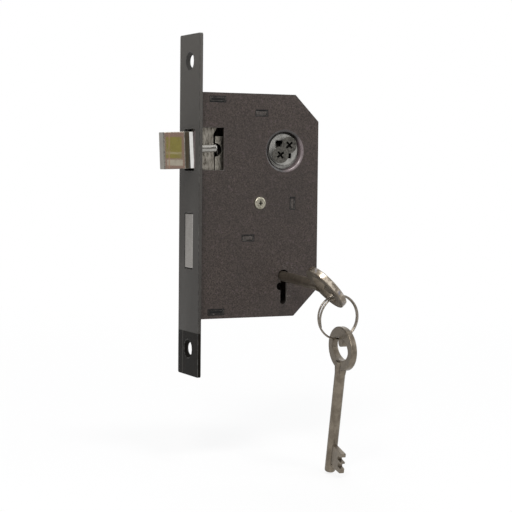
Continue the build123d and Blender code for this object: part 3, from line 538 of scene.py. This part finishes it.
steel = bare_steel("bright_steel", (0.5, 0.49, 0.475), (0.66, 0.65, 0.63))
for node, name, body, edge in (
        ("cap_post", "cover_post", "case", 0.0002),
        ("lever_pivot", "pivot_post", "case", 0.0002),
        ("spring_abutment", "spring_rest", "case", 0.0002),
        ("tail_rivets", "bolt_pins", "deadbolt", 0.0),
        ("bolt_stump", "stump_block", "deadbolt", 0.00015)):
    piece = dressed(node, name, body, edge, (steel,))

# ---------------------------------------------------------------- cover screw
# A pan head screw of zinc plated steel with a cross recess. It goes through the cover into its
# post and holds the case shut; the recess is painted dark as shade.
COVER_FACE = -0.00725          # outside of the cover
HEAD_FLATTER = 0.68            # height of the head, by that of the solid's


def shade_in_recess():
    """Painted shade in a cross recess."""
    made, tree, shader, place = surface("recess_dirt", level=0.2)
    fine = grain(tree, place, 0.0003, detail=4)
    colour = blend(tree, ramp(tree, fine, 0.3, 0.7), (0.06, 0.055, 0.05), (0.14, 0.13, 0.12))
    colour_to(tree, shader, colour, ramp(tree, fine, 0.3, 0.7, 0.6, 0.8))
    return made


def cross_cutter(place, out, width, arm, depth):
    """A cross that narrows towards its tip, driven into a screw head along out."""
    bpy.ops.mesh.primitive_cube_add(size=1, location=(0, 0, 0))
    cutter = bpy.context.object
    bpy.ops.object.mode_set(mode="EDIT")
    bpy.ops.transform.resize(value=(arm, width, 2 * depth))
    bpy.ops.mesh.duplicate()
    bpy.ops.transform.rotate(value=pi / 2, orient_axis="Z", center_override=(0, 0, 0))
    bpy.ops.object.mode_set(mode="OBJECT")
    for v in cutter.data.vertices:
        if v.co.z < 0:
            v.co.x *= 0.6
            v.co.y *= 0.6 if abs(v.co.y) > width else 0.85
    for face in cutter.data.polygons:
        face.material_index = 1     # the recess keeps it: the second finish of the screw, painted shade
    turned = out.to_track_quat("Z", "X").to_matrix().to_4x4()
    cutter.data.transform(Matrix.Translation(place) @ turned)
    return cutter


def apply_cut(piece, cutter):
    """Takes the cutter out of the piece."""
    cut = piece.modifiers.new("recess", "BOOLEAN")
    cut.operation = "DIFFERENCE"
    cut.solver = "EXACT"
    cut.use_self = True
    cut.object = cutter
    bpy.ops.object.select_all(action="DESELECT")
    bpy.context.view_layer.objects.active = piece
    piece.select_set(True)
    bpy.ops.object.modifier_apply(modifier=cut.name)
    bpy.data.objects.remove(cutter)


recess_shade = shade_in_recess()
zinc_plate = bare_steel("zinc_plate", (0.54, 0.525, 0.47), (0.7, 0.68, 0.62), size=0.0009,
                        gloss=(0.3, 0.42))
cap = dressed("cap_screw", "cover_screw", "case", 0.0, (zinc_plate, recess_shade))
for v in cap.data.vertices:
    if v.co.y < COVER_FACE:
        v.co.y = COVER_FACE + HEAD_FLATTER * (v.co.y - COVER_FACE)
head_middle = Vector((SCREW_AT[0], min(v.co.y for v in cap.data.vertices), SCREW_AT[2]))
apply_cut(cap, cross_cutter(head_middle, Vector((0, -1, 0)), width=0.0006, arm=0.0027,
                            depth=0.0009))
even_flats(cap)

# ---------------------------------------------------------------- latch
# The bevelled latch bolt, cast and chrome plated, polished outside and dull inside the case.
# A rod in its groove joins it to the carriage plate; the wound spring pushes it out.
FLANK = -0.0050                # the side of the bolt that the camera sees lies beyond this
# a shallow ground facet on that side: where its three edges lie along X, how deep each is sunk
FACET = ((-0.00359, 0.0), (-0.00349, 0.00035), (-0.00191, 0.0))
FACET_LEAN = Vector((1, 0, 0.0575))
SLIVER = 12e-6                 # square metres; smaller faces outside the case are worn
ROD_THICKER = 1.4              # in height, as the photograph shows it


def blend_numbers(tree, share, first, second):
    """Two numbers mixed by a share from 0 to 1."""
    made = tree.nodes.new("ShaderNodeMix")
    made.data_type = "FLOAT"
    for number, value in ((0, share), (2, first), (3, second)):
        tree.links.new(value, made.inputs[number])
    return made.outputs[0]


def chrome():
    """Mirror bright plating outside the forend, dull as it was cast inside the case."""
    made, tree, shader, place = surface("latch_plating", metallic=1.0)
    x = add(tree, "SeparateXYZ", Vector=place).outputs["X"]
    inside = ramp(tree, x, -0.0004, 0.0004)
    haze = grain(tree, place, 0.004, detail=5)
    fine = grain(tree, place, 0.0007, stretch=(1, 1, 2.5), detail=4)
    bright = blend(tree, ramp(tree, haze, 0.35, 0.75), (0.85, 0.845, 0.835), (0.8, 0.79, 0.775))
    dull = blend(tree, ramp(tree, fine, 0.3, 0.7), (0.45, 0.43, 0.395), (0.6, 0.58, 0.545))
    rough = blend_numbers(tree, inside, ramp(tree, haze, 0.4, 0.75, 0.012, 0.035),
                          ramp(tree, fine, 0.3, 0.7, 0.26, 0.42))
    colour_to(tree, shader, blend(tree, inside, bright, dull), rough)
    bumps(tree, shader, haze, 0.00001, 0.02)
    return made


chrome_edge = bare_steel("latch_worn_edge", (0.36, 0.345, 0.325), (0.56, 0.545, 0.51),
                         size=0.0008, gloss=(0.3, 0.45))
latch = dressed("latch_head", "latch_bolt", "latch", 0.00022, (chrome(), chrome_edge))
bpy.ops.object.mode_set(mode="EDIT")
for x, _ in FACET:
    bpy.ops.mesh.select_all(action="SELECT")
    bpy.ops.mesh.bisect(plane_co=(x, 0, 0.026), plane_no=FACET_LEAN, threshold=1e-7)
bpy.ops.object.mode_set(mode="OBJECT")
for v in latch.data.vertices:
    for x, sunk in FACET:
        if v.co.y < FLANK and abs((v.co - Vector((x, 0, 0.026))).dot(FACET_LEAN)) < 2e-6:
            v.co.y += sunk
even_flats(latch, 8)
for face in latch.data.polygons:
    if face.area < SLIVER and face.center.x < 0:
        face.material_index = 1

window_metal = bare_steel("carriage_steel", (0.48, 0.465, 0.43), (0.66, 0.64, 0.6), size=0.0006,
                          stretch=(1, 1, 3))
carriage = dressed("latch_carriage", "carriage_plate", "latch", 0.00015, (window_metal,))

rod_steel = bare_steel("rod_steel", (0.55, 0.54, 0.52), (0.66, 0.65, 0.63), size=0.0012,
                       stretch=(6, 1, 1), gloss=(0.2, 0.3))
rod = dressed("latch_rod", "latch_link", "latch", 0.0, (rod_steel,))
rod_level = sum(v.co.z for v in rod.data.vertices) / len(rod.data.vertices)
for v in rod.data.vertices:
    v.co.z = rod_level + ROD_THICKER * (v.co.z - rod_level)

spring_steel = bare_steel("spring_steel", (0.36, 0.35, 0.34), (0.52, 0.51, 0.5),
                          gloss=(0.25, 0.4))
coil = dressed("latch_spring", "latch_coil", "case", 0.0, (spring_steel,))
near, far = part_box("latch_spring")
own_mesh(coil)
for node in ("follower_spring", "lever_spring_back", "lever_spring_front"):
    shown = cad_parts[node]
    shown.data.materials.clear()
    shown.data.materials.append(spring_steel)

# ---------------------------------------------------------------- follower
# A zinc casting that turns in the bearing: grey, slightly rough from the mould, with a square
# hole through it for the handle's spindle, painted nearly black inside as shade.
SPINDLE_X, SPINDLE_Z = 0.0429, 0.02575
SPINDLE_HALF = 0.004           # half the side of the square hole


def cast_zinc():
    """Grey casting, painted nearly black within the square hole as shade."""
    made, tree, shader, place = surface("cast_zinc", metallic=0.85)
    fine = grain(tree, place, 0.0004, detail=4)
    cloud = grain(tree, place, 0.004, detail=5)
    colour = blend(tree, ramp(tree, cloud, 0.3, 0.7), (0.52, 0.515, 0.5), (0.65, 0.645, 0.625))
    xyz = add(tree, "SeparateXYZ", Vector=place)
    # painted shade, nearly black, on the walls of the square hole
    hole_shade = ramp(tree, xyz.outputs["Y"], -0.0056, -0.0050)
    for axis, middle in (("X", SPINDLE_X), ("Z", SPINDLE_Z)):
        within = ramp(tree, aside(tree, xyz.outputs[axis], middle), 0.0042, 0.0041)
        hole_shade = times(tree, hole_shade, within)
    colour = blend(tree, hole_shade, colour, (0.05, 0.046, 0.042))
    dull = ramp(tree, fine, 0.3, 0.7, 0.4, 0.55)
    colour_to(tree, shader, colour, reckon(tree, "ADD", dull, times(tree, hole_shade, 0.45)))
    bumps(tree, shader, fine, 0.00004, 0.5)
    return made


follower = dressed("follower", "follower_casting", "follower", 0.0002, (cast_zinc(),))

# ---------------------------------------------------------------- forend screws
# The two wood screws that fix the lock in the door, kept in the spindle hole until then:
# countersunk heads with a cross recess, blackened steel, rolled thread.
SHANK, SLACK = 0.0016, 0.00005    # radius of the shank, room to the walls of the hole
FOLLOWER_SUNK = 0.00165           # the follower's face lies this far behind the cover's
LEAN, DROOP = radians(13.7), radians(3.9)    # of the lower screw, to the left and down
HEAD_RADIUS = 0.0038
THREAD = (1,) * 10 + (0.85, 0.78, 0.65)      # outer radius of each turn by the last one's
ROOT = 0.82                       # radius at the bottom of the thread, by its top
black = bare_steel("blackened_screw", (0.27, 0.265, 0.25), (0.41, 0.4, 0.38), size=0.0008,
                   gloss=(0.34, 0.5))


def drawn_down(drop, grow):
    """Extrudes the end of the screw by drop and makes it wider or narrower."""
    bpy.ops.mesh.extrude_region_move(TRANSFORM_OT_translate={"value": (0, 0, -drop)})
    bpy.ops.transform.resize(value=(grow, grow, 1))


def wood_screw(name, node, out, mouth, turn, neck):
    """A countersunk screw that lies along -out from the middle of its face."""
    bpy.ops.mesh.primitive_circle_add(vertices=48, radius=HEAD_RADIUS, fill_type="NGON",
                                      location=(0, 0, 0))
    screw = bpy.context.object
    screw.name = name
    bpy.ops.object.mode_set(mode="EDIT")
    bpy.ops.mesh.select_all(action="SELECT")
    for drop, grow in ((0.0003, 1.0), (0.0019, neck), (0.0033, 1.0)):
        drawn_down(drop, grow)
    for taper in THREAD:
        drawn_down(0.00015, ROOT)
        drawn_down(0.00055, taper / ROOT)
    drawn_down(0.0009, 0.12)
    bpy.ops.mesh.select_all(action="SELECT")
    bpy.ops.mesh.normals_make_consistent(inside=False)
    bpy.ops.object.mode_set(mode="OBJECT")
    screw.data.materials.append(black)
    # the second finish: painted shade in the cross recess
    screw.data.materials.append(recess_shade)
    apply_cut(screw, cross_cutter(Vector((0, 0, 0)), Vector((0, 0, 1)), width=0.0011, arm=0.0048,
                                  depth=0.0016))
    edge = screw.modifiers.new("soft_rim", "BEVEL")
    edge.width = 0.00012
    edge.segments = 2
    edge.limit_method = "ANGLE"
    edge.angle_limit = radians(60)
    bpy.ops.object.modifier_apply(modifier=edge.name)
    even_flats(screw)
    turned = out.to_track_quat("Z", "Y").to_matrix().to_4x4() @ Matrix.Rotation(turn, 4, "Z")
    screw.data.transform(Matrix.Translation(mouth) @ turned)
    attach(screw, "follower")
    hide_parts(node)


mouth_y = COVER_FACE + FOLLOWER_SUNK
# the upper screw lies towards the upper right corner of the hole, a little off it
reach = SPINDLE_HALF - SHANK - SLACK
upper_out = Vector((0, -1, -0.02))
upper_mouth = Vector((SPINDLE_X + reach - 0.0004, mouth_y, SPINDLE_Z + reach - 0.0003))
wood_screw("fixing_screw_upper", "screw_upper", upper_out.normalized(),
           upper_mouth + upper_out * 0.00225, radians(42), neck=0.47)
# the lower screw lies in the lower left corner and leans out of it
reach = SPINDLE_HALF - SHANK / cos(LEAN) - SLACK
lower_out = Vector((-tan(LEAN), -1, -tan(DROOP)))
lower_mouth = Vector((SPINDLE_X - reach, mouth_y, SPINDLE_Z - reach))
wood_screw("fixing_screw_lower", "screw_lower", lower_out.normalized(),
           lower_mouth + lower_out * 0.0034, radians(38), neck=0.42)

# ---------------------------------------------------------------- deadbolt
# A sintered steel bolt, ground bright on its end, with its tail plate let in and riveted. The
# tail is cropped from the same strip as the latch's carriage.


def ground_bolt():
    """Steel ground in fine lines across the bolt."""
    made, tree, shader, place = surface("ground_bolt", metallic=1.0)
    lines = grain(tree, place, 0.0005, stretch=(1, 5, 0.5), detail=5)
    cloud = grain(tree, place, 0.008, detail=4)
    colour = blend(tree, ramp(tree, lines, 0.3, 0.7), (0.56, 0.545, 0.53), (0.65, 0.64, 0.625))
    colour = blend(tree, ramp(tree, cloud, 0.5, 0.8, 0, 0.3), colour, (0.5, 0.485, 0.475))
    colour_to(tree, shader, colour, ramp(tree, lines, 0.3, 0.7, 0.38, 0.52))
    bumps(tree, shader, lines, 0.00002, 0.4)
    return made


bolt = dressed("deadbolt_head", "deadbolt_block", "deadbolt", 0.0002, (ground_bolt(),))
tail = dressed("deadbolt_tail", "deadbolt_plate", "deadbolt", 0.00015, (window_metal,))

# ---------------------------------------------------------------- levers
# Two levers stamped from brass sheet, loose on their pivot, with the marks of the press on
# their faces. The wire springs let into them keep the steel of the latch spring.


def stamped_brass():
    """Brass with fine press lines and brown tarnish in patches."""
    made, tree, shader, place = surface("stamped_brass", metallic=1.0)
    lines = grain(tree, place, 0.0006, stretch=(3, 1, 1), detail=5)
    cloud = grain(tree, place, 0.005, detail=4)
    colour = blend(tree, ramp(tree, lines, 0.3, 0.7), (0.66, 0.53, 0.28), (0.78, 0.64, 0.36))
    colour = blend(tree, ramp(tree, cloud, 0.5, 0.8, 0, 0.5), colour, (0.45, 0.35, 0.2))
    colour_to(tree, shader, colour, ramp(tree, lines, 0.3, 0.7, 0.28, 0.42))
    return made


brass = stamped_brass()
for lever in ("lever_back", "lever_front"):
    piece = dressed(lever, "brass_" + lever, lever, 0.00012, (brass,))

# ---------------------------------------------------------------- keys
# Two cast keys, nickel plated and worn: round pins, oval bows with a tab inside, bits with a cut
# for each lever. The plating is thin on the raised edges.
BOW_RIM = 0.0085, 0.014        # the outside of the bow lies so far from its middle


def key_plating():
    """Dull nickel, clouded, with dark pits."""
    made, tree, shader, place = surface("key_plating", metallic=0.8)
    fine = grain(tree, place, 0.0006, detail=5)
    cloud = grain(tree, place, 0.0035, detail=6, rough=0.65)
    pits = grain(tree, place, 0.0012, detail=3)
    colour = blend(tree, ramp(tree, cloud, 0.3, 0.7), (0.385, 0.352, 0.31), (0.5, 0.465, 0.415))
    colour = blend(tree, ramp(tree, fine, 0.55, 0.8, 0, 0.4), colour, (0.6, 0.565, 0.51))
    colour = blend(tree, ramp(tree, pits, 0.68, 0.76, 0, 0.6), colour, (0.2, 0.18, 0.155))
    colour_to(tree, shader, colour, ramp(tree, cloud, 0.3, 0.7, 0.3, 0.46))
    bumps(tree, shader, cloud, 0.00008, 0.5)
    return made


def key_edge():
    """Edges rubbed bright in a pocket."""
    made, tree, shader, place = surface("key_worn_edge", metallic=1.0)
    patches = grain(tree, place, 0.002, detail=5)
    colour = blend(tree, ramp(tree, patches, 0.35, 0.65), (0.42, 0.39, 0.35), (0.72, 0.69, 0.63))
    colour_to(tree, shader, colour, ramp(tree, patches, 0.35, 0.65, 0.32, 0.2))
    return made


def key_rim_highlight():
    """The outside of the working key's bow, lighter and glossier, with a cool tinge in places: a
    painted highlight.
    """
    made, tree, shader, place = surface("key_polished_rim", metallic=1.0)
    patches = grain(tree, place, 0.0035, detail=5)
    cool = grain(tree, place, 0.005, detail=2)
    colour = blend(tree, ramp(tree, patches, 0.4, 0.62), (0.48, 0.445, 0.4), (0.82, 0.775, 0.71))
    colour = blend(tree, ramp(tree, cool, 0.56, 0.68, 0, 0.5), colour, (0.55, 0.57, 0.66))
    colour_to(tree, shader, colour, ramp(tree, patches, 0.4, 0.62, 0.34, 0.2))
    bumps(tree, shader, patches, 0.00004, 0.4)
    return made


key_finishes = key_plating(), key_edge()
for node, name, body in (("key_in_lock", "working_key", "key"),
                         ("spare_key", "hanging_key", "spare_key")):
    key = dressed(node, name, body, 0.00014, key_finishes, sharp=55, clamp=True)

working = bpy.data.objects["working_key"]
# painted highlight: the outside of the working key's bow is lighter and glossier
polished = one_more(working, key_rim_highlight())
flat = max(working.data.polygons, key=lambda face: face.area)
bow, across = flat.center.copy(), flat.normal.copy()
for face in working.data.polygons:
    off = face.center - bow
    off -= off.dot(across) * across
    outward = abs(face.normal.dot(across)) < 0.3 and face.normal.dot(off) > 0
    if BOW_RIM[0] < off.length < BOW_RIM[1] and outward:
        face.material_index = polished

# ---------------------------------------------------------------- split ring
# Two turns of round spring wire, nickel plated, through both bows. The turns lie close and
# spring apart at the left, where the second one ends.
RING_MIDDLE = Vector((0.04797, -0.049633, -0.047349))
RING_YAW = radians(-1.0)
RING_X = Vector((cos(RING_YAW), sin(RING_YAW), 0))
RING_AXIS = Vector((sin(RING_YAW), -cos(RING_YAW), 0))
RING_RADIUS, WIRE_RADIUS = 0.0097, 0.00044
FIRST, TURNS, STEPS = 205, 2, 24          # where the wire starts, in degrees; points for a turn
TURN_APART, START_BACK = 0.00095, 0.00109
OPEN_FROM, OPEN_OVER, OPENED = 775, 150, 0.0018
TUCKED, TUCKED_OVER = 0.00045, 50         # the wire's start lies a little nearer the middle


def sprung(angle):
    """How far the wire lies along the ring's axis: close turns, opened where the second ends."""
    opened = max(0.0, sin(pi * (angle - OPEN_FROM) / OPEN_OVER)) if angle > OPEN_FROM else 0.0
    return TURN_APART * (angle - FIRST) / 360 - START_BACK + OPENED * opened


bpy.ops.curve.primitive_nurbs_path_add(location=(0, 0, 0))
ring = bpy.context.object
ring.name = "sprung_ring"
spline = ring.data.splines[0]
spline.points.add(TURNS * STEPS + 1 - len(spline.points))
for k, point in enumerate(spline.points):
    angle = FIRST + 360 * k / STEPS
    across = RING_X * cos(radians(angle)) + Vector((0, 0, 1)) * sin(radians(angle))
    tucked = TUCKED * max(0.0, 1 - (angle - FIRST) / TUCKED_OVER)
    point.co = (*(RING_MIDDLE + across * (RING_RADIUS - tucked) + RING_AXIS * sprung(angle)), 1)
spline.order_u = 4
spline.use_endpoint_u = True
spline.resolution_u = 4
ring.data.bevel_depth = WIRE_RADIUS
ring.data.bevel_resolution = 5
ring.data.use_fill_caps = True
bpy.ops.object.convert(target="MESH")
ring = bpy.context.object
bpy.ops.object.shade_smooth_by_angle(angle=radians(40))
ring.data.materials.clear()
ring.data.materials.append(bare_steel("ring_plating", (0.4, 0.375, 0.34), (0.6, 0.57, 0.53),
                                      size=0.0005, gloss=(0.18, 0.32)))
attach(ring, "ring")
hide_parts("split_ring")
